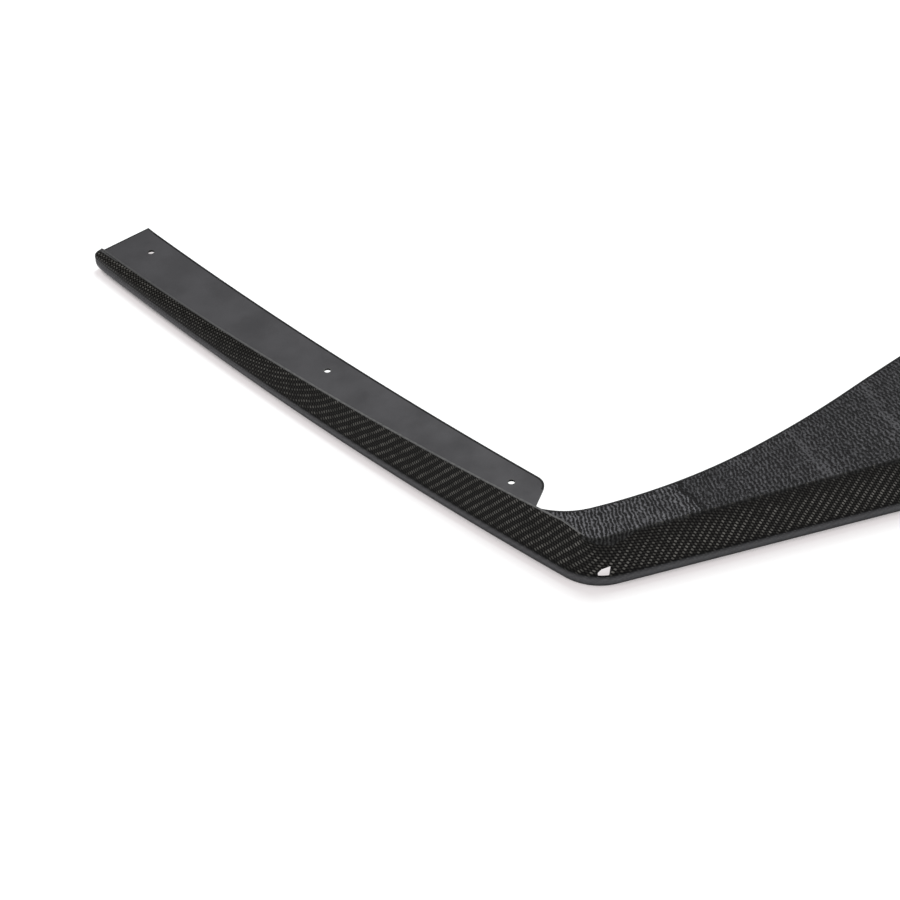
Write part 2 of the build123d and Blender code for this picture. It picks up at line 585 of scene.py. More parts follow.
@dataclass(frozen=True)
class Hide:
    """Rough resin like hide: the cloth's ridges print through it, with folds across them.

    The three folds are placed in metres across from the middle of the car, as read at Y nought.
    """

    steep: PrintedRidges = PrintedRidges(across=-228.0, along=113.4, turn=-388.0, bend=13.0, bend_scale=120.0)
    flat: PrintedRidges = PrintedRidges(across=-229.0, along=-33.3, turn=-341.0, bend=-12.0, bend_scale=150.0)
    steep_share: float = 0.34
    flat_share: float = 0.26
    printed: Ramp = (-0.36, 0.36, 0.0, 0.5)
    rippled: Ramp = (-0.8, 0.9, 0.0, 0.5)
    ripple_start: Ramp = (-0.004, 0.006)
    plate_middle: float = 0.28
    crease: float = 0.473
    near_ridge: float = 0.343
    far_ridge: float = 0.249
    fold_lean: float = 0.2
    fold_wander: float = 0.022
    fold_scale: float = 40.0
    crease_half: float = 0.004
    near_half: float = 0.008
    far_half: float = 0.006
    crease_depth: float = 0.4
    ridge_height: float = 0.27
    fine_scale: float = 330.0
    fine: Ramp = (0.32, 0.68)
    fine_share: float = 0.5
    patch_scale: float = 24.0
    patches: Ramp = (0.3, 0.7, 0.75, 1.1)
    # tone: painted shade of the relief, lighter on raised ridges and darker in the hollows and the crease;
    # plain_tone makes the plain side of the crease darker
    tone: Ramp = (0.26, 0.94)
    plain_tone: Ramp = (0.0, 1.0, 0.52, 1.0)

    def group(self) -> NodeTree:
        """Make the node group.

        Returns:
            The node group.
        """
        number = "NodeSocketFloat"
        placed = {"Crease": self.crease, "Near Ridge": self.near_ridge, "Far Ridge": self.far_ridge}
        inputs = {"Vector": "NodeSocketVector", **{name: number for name in placed}}
        kit, start, end = start_tree("hide", "ShaderNodeTree", inputs, {"Height": number, "Tone": number})
        for name, value in placed.items():
            kit.tree.interface.items_tree[name].default_value = value
        vector = start.outputs["Vector"]
        x, along, _ = kit.split(vector)
        across = kit.math("ABSOLUTE", x)
        wander = kit.times(kit.minus(kit.noise(vector, self.fold_scale), 0.5), self.fold_wander)
        folds = kit.plus(kit.plus(across, kit.times(along, self.fold_lean)), wander)

        def near_fold(name: str, half: float) -> NodeSocket:
            """One on a fold, falling to nought at half its width."""
            return kit.ramp(kit.math("ABSOLUTE", kit.minus(folds, start.outputs[name])), half, 0.0)

        rippled = kit.ramp(kit.minus(folds, start.outputs["Crease"]), *self.ripple_start)
        near, far = near_fold("Near Ridge", self.near_half), near_fold("Far Ridge", self.far_half)
        ridge = kit.math("MAXIMUM", near, far)
        middle = kit.plus(along, self.plate_middle)
        steep = self.steep.wave(kit, vector, across, middle)
        flat = self.flat.wave(kit, vector, across, middle)
        fine = kit.ramp(kit.noise(vector, self.fine_scale, 3.0, 0.6), *self.fine)
        fine = kit.times(fine, self.fine_share)
        printed = kit.plus(kit.times(steep, self.steep_share), kit.times(flat, self.flat_share))
        ripple = kit.plus(kit.ramp(steep, *self.rippled), fine)
        grain = kit.plus(kit.ramp(printed, *self.printed), fine)
        raised = kit.plus(kit.blend(rippled, grain, ripple), kit.times(ridge, self.ridge_height))
        height = kit.minus(raised, kit.times(near_fold("Crease", self.crease_half), self.crease_depth))
        # Tone: painted shade of the relief, lighter on raised ridges and darker in the hollows and the
        # crease, in random patches
        patches = kit.ramp(kit.noise(vector, self.patch_scale, 4.0, 0.6), *self.patches)
        relief_shade = kit.times(kit.ramp(height, *self.tone), kit.ramp(rippled, *self.plain_tone))
        kit.feed(end.inputs["Height"], height)
        kit.feed(end.inputs["Tone"], kit.times(patches, relief_shade))
        return kit.tree


@dataclass(frozen=True)
class WovenFinish:
    """Sealed twill on the outer face, its warp floats lit and its weft floats dim as painted sheen, with
    rough resin where the cloth folds over the front.

    Each ramp holds a low and a high value, then the results at them if they aren't nought and one.
    """

    dark: Colour = (0.0016, 0.0014, 0.0012, 1.0)
    # weft and warp: painted sheen of the tows, the warp floats bright and the weft floats dim as the glossy
    # fibres reflect the light
    weft: Colour = (0.0235, 0.0221, 0.0207, 1.0)
    warp: Colour = (0.174, 0.167, 0.155, 1.0)
    # lower, lower_front, lower_dark and lower_warp: painted reflection of the floor on the undercut face,
    # lighter along the front, and its painted shade
    lower: Colour = (0.112, 0.11, 0.118, 1.0)
    lower_front: Colour = (0.12, 0.12, 0.127, 1.0)
    lower_dark: Colour = grey(0.008)
    lower_warp: Colour = grey(0.16)
    # Painted shade for the dark line just above the nose, where the wall meets the undercut face
    seam_dark: Colour = grey(0.003)
    resin_dark: Colour = grey(0.008)
    resin_light: Colour = grey(0.05)
    sway: float = 0.25
    sway_scale: float = 60.0
    patch_scale: float = 120.0
    patches: Ramp = (0.3, 0.72, 0.35, 1.15)
    # past_corner, along_arm and near_fold: painted shade that dims the painted sheen past the corner, along
    # the arm and near the fold
    past_corner: Ramp = (-0.3, -0.2, 1.0, 0.75)
    along_arm: Ramp = (-0.2, 0.3, 1.0, 0.66)
    near_fold: Ramp = (0.0, 0.024, 0.4, 1.0)
    below_nose: Ramp = (1.1, 1.02)
    # Where the painted shade line just above the nose starts and ends on the climb, and how strong it is
    seam_start: Ramp = (1.0, 1.08)
    seam_end: Ramp = (1.2, 1.1)
    seam_share: float = 0.75
    # under_nose and by_floor: painted shade that dims that painted reflection under the nose and along the
    # bottom edge
    under_nose: Ramp = (1.0, 0.5, 0.25, 1.0)
    by_floor: Ramp = (0.02, 0.2, 0.3, 1.0)
    speck_scale: float = 420.0
    specks: Ramp = (0.25, 0.75, 0.6, 1.2)
    front_start: Ramp = (-0.24, -0.29)
    lower_warp_share: float = 0.3
    ragged: float = 0.008
    ragged_scale: float = 150.0
    resin_edge: Ramp = (0.001, -0.001)
    resin_height: float = 2.5
    bump: Point = (0.3, 0.0004)
    roughness: Ramp = (0.0, 1.0, 0.3, 0.55)
    specular: float = 0.04

    def cloth(self, kit: NodeKit, place: NodeSocket) -> NodeSocket:
        """Cloth coordinates that sway a little.

        Args:
            kit: Tree to add to.
            place: Place on the object.

        Returns:
            The coordinates.
        """
        straight = kit.add("ShaderNodeUVMap", uv_map="fabric").outputs[0]
        values = {"Vector": place, "Scale": self.sway_scale, "Detail": 2.0}
        noise = kit.add("ShaderNodeTexNoise", values).outputs["Color"]
        shift = kit.vector("ADD", {0: noise, 1: (-0.5, -0.5, -0.5)})
        return kit.vector("ADD", {0: straight, 1: kit.vector("SCALE", {0: shift, "Scale": self.sway})})

    def lower_shade(self, kit: NodeKit, place: NodeSocket, climb: NodeSocket, warp: NodeSocket) -> NodeSocket:
        """Colour of the undercut face, where the weave is faint: a painted reflection of the floor, lighter
        along the front, with painted shade under the nose and along the bottom edge.

        Args:
            kit: Tree to add to.
            place: Place on the object.
            climb: Climb up the section.
            warp: Warp floats of the weave.

        Returns:
            The colour.
        """
        # Painted reflection of the floor, dimmed by painted shade under the nose and along the bottom edge,
        # with random specks
        sheen = kit.times(kit.ramp(climb, *self.under_nose), kit.ramp(climb, *self.by_floor))
        sheen = kit.times(sheen, kit.ramp(kit.noise(place, self.speck_scale, 4.0, 0.65), *self.specks))
        front = kit.ramp(kit.split(place)[1], *self.front_start)
        painted_reflection = kit.mix(sheen, self.lower_dark, kit.mix(front, self.lower, self.lower_front))
        return kit.mix(kit.times(warp, self.lower_warp_share), painted_reflection, self.lower_warp)

    def material(self, twill: NodeTree, hide: NodeTree) -> Material:
        """Make the material.

        Args:
            twill: Twill node group.
            hide: Rough resin node group.

        Returns:
            The material.
        """
        material, kit, shader = start_material("woven_laminate")
        climb, below_fold, _ = kit.split(kit.add("ShaderNodeUVMap", uv_map="lip").outputs[0])
        place = kit.place()
        along = kit.split(place)[1]
        weave = kit.add("ShaderNodeGroup", {"Cloth": self.cloth(kit, place)}, node_tree=twill).outputs
        rough = kit.add("ShaderNodeGroup", {"Vector": place}, node_tree=hide).outputs
        # lit: random patches in the painted sheen, times painted shade past the corner, along the arm and
        # near the fold
        lit = kit.ramp(kit.noise(place, self.patch_scale, 3.0, 0.6), *self.patches)
        for value, ramp in ((along, self.past_corner), (along, self.along_arm), (below_fold, self.near_fold)):
            lit = kit.times(lit, kit.ramp(value, *ramp))
        # Painted sheen: the warp floats lit and the weft floats dim over the black resin
        shade = kit.mix(weave["Weft"], self.dark, self.weft)
        shade = kit.mix(kit.times(weave["Warp"], lit), shade, self.warp)
        below = kit.ramp(climb, *self.below_nose)
        shade = kit.mix(below, shade, self.lower_shade(kit, place, climb, weave["Warp"]))
        # Painted shade: a dark line just above the nose, where the wall meets the undercut face
        nose_shade = kit.times(kit.ramp(climb, *self.seam_start), kit.ramp(climb, *self.seam_end))
        shade = kit.mix(kit.times(nose_shade, self.seam_share), shade, self.seam_dark)
        ragged = kit.minus(kit.noise(place, self.ragged_scale, 4.0, 0.6), 0.5)
        resin = kit.ramp(kit.plus(below_fold, kit.times(ragged, self.ragged)), *self.resin_edge)
        # The hide's Tone holds painted shade of the relief on the resin
        tone = kit.mix(rough["Tone"], self.resin_dark, self.resin_light)
        kit.feed(shader.inputs["Base Color"], kit.mix(resin, shade, tone))
        woven = kit.times(weave["Height"], kit.minus(1.0, below))
        height = kit.blend(resin, woven, kit.times(rough["Height"], self.resin_height))
        kit.feed(shader.inputs["Normal"], kit.bump(height, *self.bump))
        kit.feed(shader.inputs["Roughness"], kit.ramp(resin, *self.roughness))
        kit.feed(shader.inputs["Specular IOR Level"], self.specular)
        return material


@dataclass(frozen=True)
class SatinFinish:
    """Smooth satin face of the flanges."""

    base: Colour = (0.016, 0.0155, 0.018, 1.0)
    light: Colour = (0.0248, 0.0242, 0.0278, 1.0)
    cloud_scale: float = 22.0
    cloud_share: float = 0.7
    speck_scale: float = 700.0
    speck_share: float = 0.3
    roughness: Ramp = (0.3, 0.7, 0.36, 0.48)
    bump: Point = (0.12, 0.0002)

    def material(self) -> Material:
        """Make the material.

        Returns:
            The material.
        """
        material, kit, shader = start_material("satin_laminate")
        place = kit.place()
        cloud = kit.noise(place, self.cloud_scale, 4.0, 0.6)
        speck = kit.noise(place, self.speck_scale, 2.0)
        tone = kit.plus(kit.times(cloud, self.cloud_share), kit.times(speck, self.speck_share))
        kit.feed(shader.inputs["Base Color"], kit.mix(kit.ramp(tone, *MIDDLE), self.base, self.light))
        kit.feed(shader.inputs["Roughness"], kit.ramp(cloud, *self.roughness))
        kit.feed(shader.inputs["Normal"], kit.bump(speck, *self.bump))
        return material


@dataclass(frozen=True)
class RoughFinish:
    """Rough resin face of the front plate."""

    dark: Colour = (0.0035, 0.0035, 0.004, 1.0)
    light: Colour = (0.138, 0.138, 0.147, 1.0)
    roughness: Ramp = (0.2, 1.4, 0.6, 0.38)
    bump: Point = (1.0, 0.003)
    specular: float = 0.2

    def material(self, hide: NodeTree) -> Material:
        """Make the material.

        Args:
            hide: Rough resin node group.

        Returns:
            The material.
        """
        material, kit, shader = start_material("rough_laminate")
        rough = kit.add("ShaderNodeGroup", {"Vector": kit.place()}, node_tree=hide).outputs
        # The hide's Tone holds painted shade of the relief on the plate
        kit.feed(shader.inputs["Base Color"], kit.mix(rough["Tone"], self.dark, self.light))
        kit.feed(shader.inputs["Normal"], kit.bump(rough["Height"], *self.bump))
        kit.feed(shader.inputs["Roughness"], kit.ramp(rough["Height"], *self.roughness))
        kit.feed(shader.inputs["Specular IOR Level"], self.specular)
        return material


@dataclass(frozen=True)
class TrimFinish:
    """Cut edge of the laminate, lighter towards the front than at the arms' ends."""

    base: Colour = (0.035, 0.035, 0.036, 1.0)
    light: Colour = (0.075, 0.075, 0.074, 1.0)
    far: Colour = (0.02, 0.02, 0.021, 1.0)
    far_start: Ramp = (0.05, 0.35)
    scale: float = 260.0
    roughness: float = 0.6

    def material(self) -> Material:
        """Make the material.

        Returns:
            The material.
        """
        material, kit, shader = start_material("trimmed_edge")
        place = kit.place()
        streak = kit.ramp(kit.noise(place, self.scale, 4.0, 0.65), *MIDDLE)
        # Lighter towards the front, darker towards the arms' ends
        front_to_far = kit.mix(kit.ramp(kit.split(place)[1], *self.far_start), self.light, self.far)
        kit.feed(shader.inputs["Base Color"], kit.mix(streak, self.base, front_to_far))
        kit.feed(shader.inputs["Roughness"], self.roughness)
        return material


@dataclass(frozen=True)
class BackFinish:
    """Bare inner face of the laminate, matt and slightly wavy."""

    base: Colour = (0.014, 0.014, 0.015, 1.0)
    light: Colour = (0.034, 0.034, 0.035, 1.0)
    scale: float = 120.0
    roughness: float = 0.6
    bump: Point = (0.4, 0.0004)

    def material(self) -> Material:
        """Make the material.

        Returns:
            The material.
        """
        material, kit, shader = start_material("bare_laminate")
        wave = kit.noise(kit.place(), self.scale, 4.0, 0.6)
        kit.feed(shader.inputs["Base Color"], kit.mix(kit.ramp(wave, *MIDDLE), self.base, self.light))
        kit.feed(shader.inputs["Normal"], kit.bump(wave, *self.bump))
        kit.feed(shader.inputs["Roughness"], self.roughness)
        return material


@dataclass(frozen=True)
class EdgeFinish:
    """Nearly black strip along the inner sides."""

    base: Colour = (0.0035, 0.0035, 0.004, 1.0)
    light: Colour = (0.011, 0.011, 0.012, 1.0)
    scale: float = 300.0
    roughness: float = 0.5
    specular: float = 0.2

    def material(self) -> Material:
        """Make the material.

        Returns:
            The material.
        """
        material, kit, shader = start_material("sealed_edge")
        speck = kit.ramp(kit.noise(kit.place(), self.scale, 3.0, 0.6), *MIDDLE)
        kit.feed(shader.inputs["Base Color"], kit.mix(speck, self.base, self.light))
        kit.feed(shader.inputs["Roughness"], self.roughness)
        kit.feed(shader.inputs["Specular IOR Level"], self.specular)
        return material


@dataclass(frozen=True)
class Palette:
    """All finishes as materials."""

    woven: Material
    satin: Material
    rough: Material
    trim: Material
    back: Material
    edge: Material

    @classmethod
    def make(cls) -> "Palette":
        """Make the node groups and the materials."""
        twill, hide = Twill().group(), Hide().group()
        return cls(
            woven=WovenFinish().material(twill, hide),
            satin=SatinFinish().material(),
            rough=RoughFinish().material(hide),
            trim=TrimFinish().material(),
            back=BackFinish().material(),
            edge=EdgeFinish().material(),
        )


def new_object(name: str, data: ID) -> Object:
    """Put a new object into the scene.

    Args:
        name: Object name.
        data: Its mesh, curve, lamp or camera.

    Returns:
        The object.
    """
    piece = bpy.data.objects.new(name, data)
    bpy.context.scene.collection.objects.link(piece)
    return piece


def plain_mesh(piece: Object, name: str) -> Object:
    """Replace an object that has modifiers or is a curve by one with a plain mesh.

    Args:
        piece: Object to evaluate.
        name: Name of the new object.

    Returns:
        The new object.
    """
    graph = bpy.context.evaluated_depsgraph_get()
    mesh = bpy.data.meshes.new_from_object(piece.evaluated_get(graph), depsgraph=graph)
    bpy.data.objects.remove(piece)
    mesh.name = name
    return new_object(name, mesh)


def hand_over(piece: Object) -> Object:
    """Tell the frame which body a piece rides on and which node it stands for.

    Args:
        piece: The finished piece.

    Returns:
        The same piece.
    """
    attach(piece, "root")
    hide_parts("valance")
    return piece


def start_geometry(name: str, inputs: dict[str, str]) -> Started:
    """Start a geometry node tree with these inputs beside its geometry."""
    geometry = {"Geometry": "NodeSocketGeometry"}
    return start_tree(name, "GeometryNodeTree", {**geometry, **inputs}, geometry)


def end_geometry(kit: NodeKit, start: Node, end: Node, geometry: NodeSocket) -> NodeTree:
    """End a geometry node tree: make the geometry real and give it the tree's material.

    Args:
        kit: The tree's kit.
        start: The group's input node.
        end: The group's output node.
        geometry: The geometry that the tree has made.

    Returns:
        The tree.
    """
    real = kit.add("GeometryNodeRealizeInstances", {0: geometry})
    values = {"Geometry": real.outputs[0], "Material": start.outputs["Material"]}
    kit.feed(end.inputs[0], kit.add("GeometryNodeSetMaterial", values).outputs[0])
    return kit.tree


def run_tree(piece: Object, tree: NodeTree, values: dict[str, object], name: str) -> Object:
    """Run a geometry node tree on an object and keep the result as a plain mesh.

    Args:
        piece: Object that carries the tree's input geometry.
        tree: The tree.
        values: Input name to value.
        name: Name of the result.

    Returns:
        The new object.
    """
    modifier = piece.modifiers.new("nodes", "NODES")
    modifier.node_group = tree
    for item in tree.interface.items_tree:
        if item.in_out == "INPUT" and item.name in values:
            modifier[item.identifier] = values[item.name]
    return plain_mesh(piece, name)


def give_fields(mesh: Mesh, rows: list) -> None:
    """Store the fields of dataclass rows on a mesh, one row to each vertex.

    Args:
        mesh: The mesh.
        rows: The rows, all of one class, in the order of the vertices.
    """
    for item in fields(rows[0]):
        values = [getattr(row, item.name) for row in rows]
        mesh.attributes.new(item.name, "FLOAT", "POINT").data.foreach_set("value", values)


def line_mesh(name: str, points: list[Vector], closed: bool) -> Mesh:
    """A mesh that is one line of edges.

    Args:
        name: Mesh name.
        points: Points in order.
        closed: Whether the last point is joined to the first.

    Returns:
        The mesh.
    """
    edges = [(i, i + 1) for i in range(len(points) - 1)]
    if closed:
        edges.append((len(points) - 1, 0))
    mesh = bpy.data.meshes.new(name)
    mesh.from_pydata(points, edges, [])
    return mesh


def turn_outward(mesh: Mesh, merge: float = 0.0) -> None:
    """Make a closed mesh's faces point outwards.

    Args:
        mesh: The mesh.
        merge: Distance below which points are merged first, in metres, or nought.
    """
    work = bmesh.new()
    work.from_mesh(mesh)
    if merge:
        bmesh.ops.remove_doubles(work, verts=work.verts, dist=merge)
    bmesh.ops.recalc_face_normals(work, faces=work.faces)
    work.to_mesh(mesh)
    work.free()


def bend(start: Vector, corner: Vector, end: Vector, steps: int) -> list[Point]:
    """A smooth bend from start to end that is drawn towards a corner.

    Args:
        start: First point.
        corner: The corner that is rounded off.
        end: Last point.
        steps: Points on the bend, less one.

    Returns:
        The points.
    """
    shares = [k / steps for k in range(steps + 1)]
    points = [start * (1 - t) ** 2 + corner * 2 * t * (1 - t) + end * t**2 for t in shares]
    return [(p.x, p.y) for p in points]


def rounded(corners: tuple[Point, ...], radius: float, steps: int) -> list[Point]:
    """Round the corners of a closed outline.

    Args:
        corners: Corner points in order.
        radius: Corner radius.
        steps: Points on each round, less one.

    Returns:
        The rounded outline.
    """
    found: list[Point] = []
    for i, corner in enumerate(corners):
        here = Vector(corner)
        before = Vector(corners[i - 1]) - here
        after = Vector(corners[(i + 1) % len(corners)]) - here
        b, a = before.normalized(), after.normalized()
        most = LONGEST_ROUND * min(before.length, after.length)
        reach = min(radius / tan(b.angle(a) / 2), most)
        found += bend(here + b * reach, here, here + a * reach, steps)
    return found


def mirrored(points: list[Point]) -> list[Point]:
    """The same points on the other half, in the opposite order."""
    return [(-x, y) for x, y in reversed(points)]


@dataclass(frozen=True)
class SkinPoint:
    """One point of the lip's closed section, mixed between its place at the nose and the rim.

    Attributes:
        low_out: Distance out at the nose.
        low_z: Height at the nose.
        climb: How far up and over the section it lies.
        share: Share of the rim.
        arm_out: Distance out from the rim where the rim stands free.
        arm_z: Height above the rim where the rim stands free.
        fold_out: Distance out from the rim where the rim is a fold.
        fold_z: Height above the rim where the rim is a fold.
        down: How far the face runs on below the shoulder.
        belly: How much the lower face swells.
    """

    low_out: float
    low_z: float
    climb: float
    share: float = 0.0
    arm_out: float = 0.0
    arm_z: float = 0.0
    fold_out: float = 0.0
    fold_z: float = 0.0
    down: float = 0.0
    belly: float = 0.0


@dataclass(frozen=True)
class Station:
    """What the section needs to know at one station of the lip line.

    Attributes:
        way_x: X of the outward direction.
        way_y: Y of the outward direction.
        rim_out: Distance out of the rim.
        rim_z: Height of the rim.
        fold: How much of a fold the rim is.
        wales: Wales counted from the middle.
        dots: Floats counted from the middle.
        wales_down: Wales in each millimetre down the face.
        dots_down: Floats in each millimetre down the face.
        height: Length of the upper face.
        dip: How far the rough resin runs down from the fold.
        bulge: How far the face swells.
        draw: How far the rounded end is drawn in.
    """

    way_x: float
    way_y: float
    rim_out: float
    rim_z: float
    fold: float
    wales: float
    dots: float
    wales_down: float
    dots_down: float
    height: float
    dip: float
    bulge: float
    draw: float


@dataclass(frozen=True)
class LipSkin:
    """The lip: one thin skin whose section grows along the lip line, with a slot in each corner."""

    line: LipLine = LipLine()
    section: Section = Section()
    drape: Drape = Drape()
    slot_turn: float = 17.05
    slot_height: float = 22.0
    slot_outline: tuple[Point, ...] = ((-5.2, -4.8), (5.0, -4.8), (6.2, 7.4), (-2.3, 4.6), (-5.6, 0.5))
    slot_round: float = 1.2
    slot_round_steps: int = 4
    slot_reach: Point = (14.0, -7.0)
    resin_dip: float = 10.0
    resin_dip_run: float = 26.0
    resin_past_corner: float = 8.0
    resin_least: float = 0.5
    no_resin: float = -60.0
    end_bulge: float = 2.8
    bulge_start: float = 900.0
    bulge_run: float = 400.0
    bulge_lost: float = 0.7
    bulge_up: float = 0.8
    end_draw: float = 2.2
    free_edge: tuple[Point, ...] = ((0.0, -0.5), (-0.05, -0.25), (-0.15, -0.1), (-0.3, -0.03), (-0.5, 0.0))
    fold_edge: tuple[Point, ...] = ((0.29, -2.0), (0.17, -1.1), (-0.15, -0.5), (-0.8, -0.18), (-1.6, -0.08))
    fold_top: Point = (-1.75, -0.3)
    fold_back: Point = (-2.3, -0.6)
    back_drop: float = -0.3
    lower_steps: int = 6
    nose_steps: int = 8
    upper_steps: int = 12
    back_steps: int = 5
    back_nose_steps: int = 4

    def outline(self) -> list[SkinPoint]:
        """Closed section, up the outer face, over the rim and down the inner face.

        Returns:
            The points in order.
        """
        section = self.section
        throat, shoulder, thick = section.throat, section.shoulder, section.laminate
        start, end, nose = section.lower_lean, -radians(section.nose_lean), section.nose_round
        centre = (throat[0] - nose * cos(start), throat[1] + nose * sin(start))
        arc, rise = nose * (start - end), hypot(*throat)
        points: list[SkinPoint] = []

        def on_nose(lean: float) -> Point:
            """A point on the nose's arc."""
            return (centre[0] + nose * cos(lean), centre[1] - nose * sin(lean))

        for i in range(self.lower_steps):
            share = i / self.lower_steps
            down, belly = arc + rise * (1 - share), 4 * share * (1 - share)
            low = (throat[0] * share, throat[1] * share)
            points.append(SkinPoint(*low, THROAT_CLIMB * share, down=down, belly=belly))
        for i in range(self.nose_steps):
            share = i / self.nose_steps
            climb = THROAT_CLIMB + (SHOULDER_CLIMB - THROAT_CLIMB) * share
            points.append(SkinPoint(*on_nose(start + (end - start) * share), climb, down=arc * (1 - share)))
        for i in range(self.upper_steps):
            share = i / self.upper_steps
            climb = SHOULDER_CLIMB + (RIM_CLIMB - SHOULDER_CLIMB) * share
            points.append(SkinPoint(*shoulder, climb, share, *self.free_edge[0], *self.fold_edge[0]))
        for i, (free, fold) in enumerate(zip(self.free_edge, self.fold_edge)):
            points.append(SkinPoint(*shoulder, RIM_CLIMB + RIM_CLIMB_STEP * i, 1.0, *free, *fold))
        points.append(SkinPoint(*shoulder, TOP_CLIMB, 1.0, -thick, 0.0, *self.fold_top))
        inner = (-thick, self.back_drop, *self.fold_back)
        points.append(SkinPoint(*shoulder, TURN_CLIMB, 1.0, *inner))
        for i in range(1, self.back_steps + 1):
            share = 1 - i / self.back_steps
            points.append(SkinPoint(shoulder[0] - thick, shoulder[1], INSIDE_CLIMB, share, *inner))
        for i in range(1, self.back_nose_steps + 1):
            out, z = on_nose(end + (start - end) * i / self.back_nose_steps)
            points.append(SkinPoint(out - thick, z, INSIDE_CLIMB))
        points.append(SkinPoint(-thick, 0.0, INSIDE_CLIMB))
        return points

    def station(self, side: Side, along: float, wales: float, dots: float) -> Station:
        """What the section needs at one place.

        Args:
            side: Which half.
            along: Distance from the middle of the front.
            wales: Wales counted up to there.
            dots: Floats counted up to there.

        Returns:
            The station.
        """
        place, lie = self.line.place(along), self.drape.lie(along)
        fold, drawn = self.section.fold(place), self.line.drawn_in(along)
        way_x, way_y = place.outward()
        out, z = self.section.rim(place)
        shoulder = self.section.shoulder
        away = abs(along - self.line.corner_start - self.resin_past_corner) / self.resin_dip_run
        dip = self.resin_dip * max(0.0, 1.0 - away) ** 1.5
        swell = min(max((along - self.bulge_start) / self.bulge_run, 0.0), 1.0) ** 1.5
        return Station(
            way_x=side.value * way_x,
            way_y=way_y,
            rim_out=out,
            rim_z=z,
            fold=fold,
            wales=wales,
            dots=dots,
            wales_down=lie.wale_down,
            dots_down=lie.dot_down,
            height=hypot(out - shoulder[0], z - shoulder[1]),
            dip=dip + self.resin_least if fold > 0.5 else self.no_resin,
            bulge=self.end_bulge * swell * (1 - self.bulge_lost * drawn),
            draw=self.end_draw * drawn,
        )

    def path(self) -> Mesh:
        """The lip line as a line of edges that carries what the section needs at each station.

        Returns:
            The mesh.
        """
        half = self.line.stations()
        wales, dots = [0.0], [0.0]
        for here, after in zip(half, half[1:]):
            lie = self.drape.lie((here + after) / 2)
            wales.append(wales[-1] - lie.wale_along * (after - here))
            dots.append(dots[-1] - lie.dot_along * (after - here))
        counted = list(zip(half, wales, dots))
        walk = [(Side.RIGHT, *row) for row in reversed(counted[1:])] + [(Side.LEFT, *row) for row in counted]
        points: list[Vector] = []
        for side, along, *_ in walk:
            place = self.line.place(along)
            points.append(Vector((side.value * place.x, place.y, 0.0)) * MM)
        mesh = line_mesh("lip_path", points, False)
        give_fields(mesh, [self.station(*row) for row in walk])
        return mesh

    def tree(self) -> NodeTree:
        """Node tree that carries the section along the path.

        Returns:
            The tree.
        """
        inputs = {"Section": "NodeSocketObject", "Scale": "NodeSocketFloat", "Material": "NodeSocketMaterial"}
        kit, start, end = start_geometry("lip_skin", inputs)
        scale = start.outputs["Scale"]

        def value(name: str, kind: str = "FLOAT") -> NodeSocket:
            """Read a stored value."""
            return kit.add("GeometryNodeInputNamedAttribute", {"Name": name}, data_type=kind).outputs[0]

        def store(geometry: NodeSocket, name: str, data: NodeSocket, **props: str) -> NodeSocket:
            """Store a value under a name."""
            values = {"Geometry": geometry, "Name": name, "Value": data}
            return kit.add("GeometryNodeStoreNamedAttribute", values, **props).outputs[0]

        outline = kit.add("GeometryNodeObjectInfo", {"Object": start.outputs["Section"]})
        path = kit.add("GeometryNodeMeshToCurve", {0: start.outputs["Geometry"]})
        ring = kit.add("GeometryNodeMeshToCurve", {0: outline.outputs["Geometry"]})
        place = kit.add("GeometryNodeInputPosition").outputs[0]
        kept = store(path.outputs[0], "base", place, data_type="FLOAT_VECTOR")
        values = {"Curve": kept, "Profile Curve": ring.outputs[0], "Fill Caps": True}
        swept = kit.add("GeometryNodeCurveToMesh", values)
        fold, share, bulge, height = value("fold"), value("share"), value("bulge"), value("height")
        rim_out = kit.plus(value("rim_out"), kit.blend(fold, value("arm_out"), value("fold_out")))
        rim_z = kit.plus(value("rim_z"), kit.blend(fold, value("arm_z"), value("fold_z")))
        lower_share = kit.minus(1.0, share)
        swell = kit.times(kit.times(kit.times(share, lower_share), 4.0), bulge)
        belly = kit.times(value("belly"), bulge)
        outer = kit.math("LESS_THAN", value("climb"), OUTER_CLIMB)
        out = kit.plus(kit.plus(kit.blend(share, value("low_out"), rim_out), swell), belly)
        out = kit.times(kit.minus(out, kit.times(outer, value("draw"))), scale)
        z = kit.plus(kit.blend(share, value("low_z"), rim_z), kit.times(swell, self.bulge_up))
        z = kit.times(kit.minus(z, kit.times(share, value("draw"))), scale)
        offset = kit.join(kit.times(value("way_x"), out), kit.times(value("way_y"), out), z)
        moved = kit.vector("ADD", {0: value("base", "FLOAT_VECTOR"), 1: offset})
        shaped = kit.add("GeometryNodeSetPosition", {"Geometry": swept.outputs[0], "Position": moved})
        down = kit.plus(kit.times(lower_share, height), value("down"))
        level = kit.minus(down, kit.times(height, 0.5))
        wales = kit.plus(value("wales"), kit.times(level, value("wales_down")))
        dots = kit.plus(value("dots"), kit.times(level, value("dots_down")))
        below_fold = kit.times(kit.minus(down, value("dip")), scale)
        geometry = shaped.outputs[0]
        for name, coords in (("fabric", (wales, dots)), ("lip", (value("climb"), below_fold))):
            geometry = store(geometry, name, kit.join(*coords), data_type="FLOAT2", domain="CORNER")
        smooth = kit.add("GeometryNodeSetShadeSmooth", {"Geometry": geometry})
        return end_geometry(kit, start, end, smooth.outputs[0])

